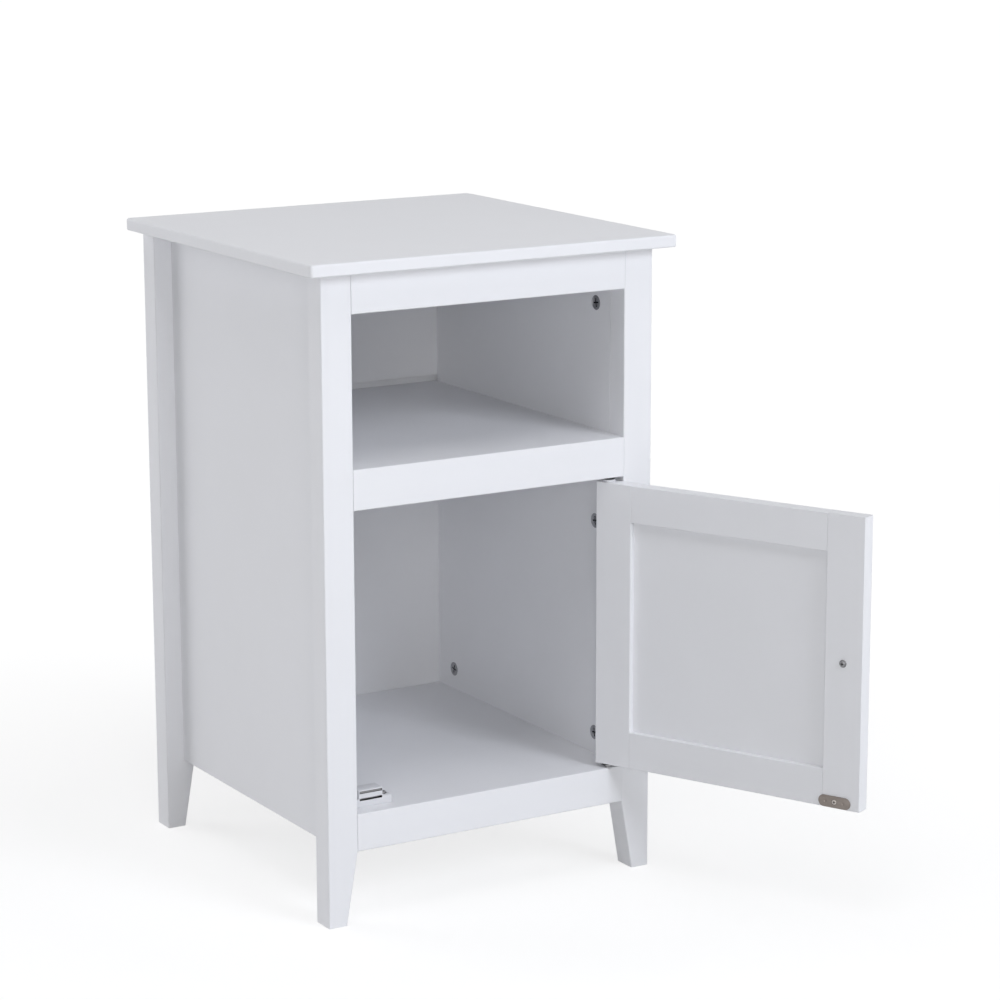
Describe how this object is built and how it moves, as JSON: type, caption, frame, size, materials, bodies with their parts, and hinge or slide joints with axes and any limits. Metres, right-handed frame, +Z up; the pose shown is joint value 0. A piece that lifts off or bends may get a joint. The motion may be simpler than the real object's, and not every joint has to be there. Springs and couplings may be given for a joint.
{
  "type": "storage side table with door",
  "caption": "Square side table on tapered legs, with an open compartment above a cupboard whose frame-and-panel door turns on pivots at its right edge.",
  "frame": {"origin": "on the floor, below the middle of the square top", "axes": "+Z up, -Y to the front (the side with the door), +X to the right seen from the front, the side with the door's pivots"},
  "size_m": [0.4768, 0.6385, 0.64],
  "materials": {
    "white_paint": "satin paint",
    "dark_zinc": "satin",
    "steel": "zinc plated",
    "brushed_nickel": "brushed nickel plate",
    "black_nylon": "matte",
    "white_plastic": "satin",
    "ferrite": "matte"
  },
  "bodies": {
    "cabinet": {"top_panel": "white_paint", "front_left_leg": "white_paint", "front_right_leg": "white_paint", "back_left_leg": "white_paint", "back_right_leg": "white_paint", "left_side_panel": "white_paint", "right_side_panel": "white_paint", "top_front_rail": "white_paint", "shelf_front_rail": "white_paint", "bottom_front_rail": "white_paint", "top_back_rail": "white_paint", "shelf_back_rail": "white_paint", "bottom_back_rail": "white_paint", "shelf_panel": "white_paint", "bottom_panel": "white_paint", "upper_back_panel": "white_paint", "lower_back_panel": "white_paint", "side_cam_locks": "dark_zinc", "side_cam_bolts": "steel", "top_cam_locks": "dark_zinc", "top_cam_bolts": "steel", "pivot_pins": "steel", "catch_body": "white_plastic", "catch_pole_plates": "steel", "catch_magnet": "ferrite", "catch_screws": "steel"},
    "door": {"door_hinge_stile": "white_paint", "door_free_stile": "white_paint", "door_top_rail": "white_paint", "door_bottom_rail": "white_paint", "door_panel": "white_paint", "pivot_bushes": "black_nylon", "knob": "brushed_nickel", "knob_screw": "steel", "strike_plate": "brushed_nickel", "strike_screw": "steel"}
  },
  "joints": [
    {"name": "door_hinge", "type": "hinge", "parent": "cabinet", "child": "door", "pos_m": [0.13765, -0.1765, 0.2565], "axis": [0, 0, 1], "range_deg": [-115, 3]}
  ]
}
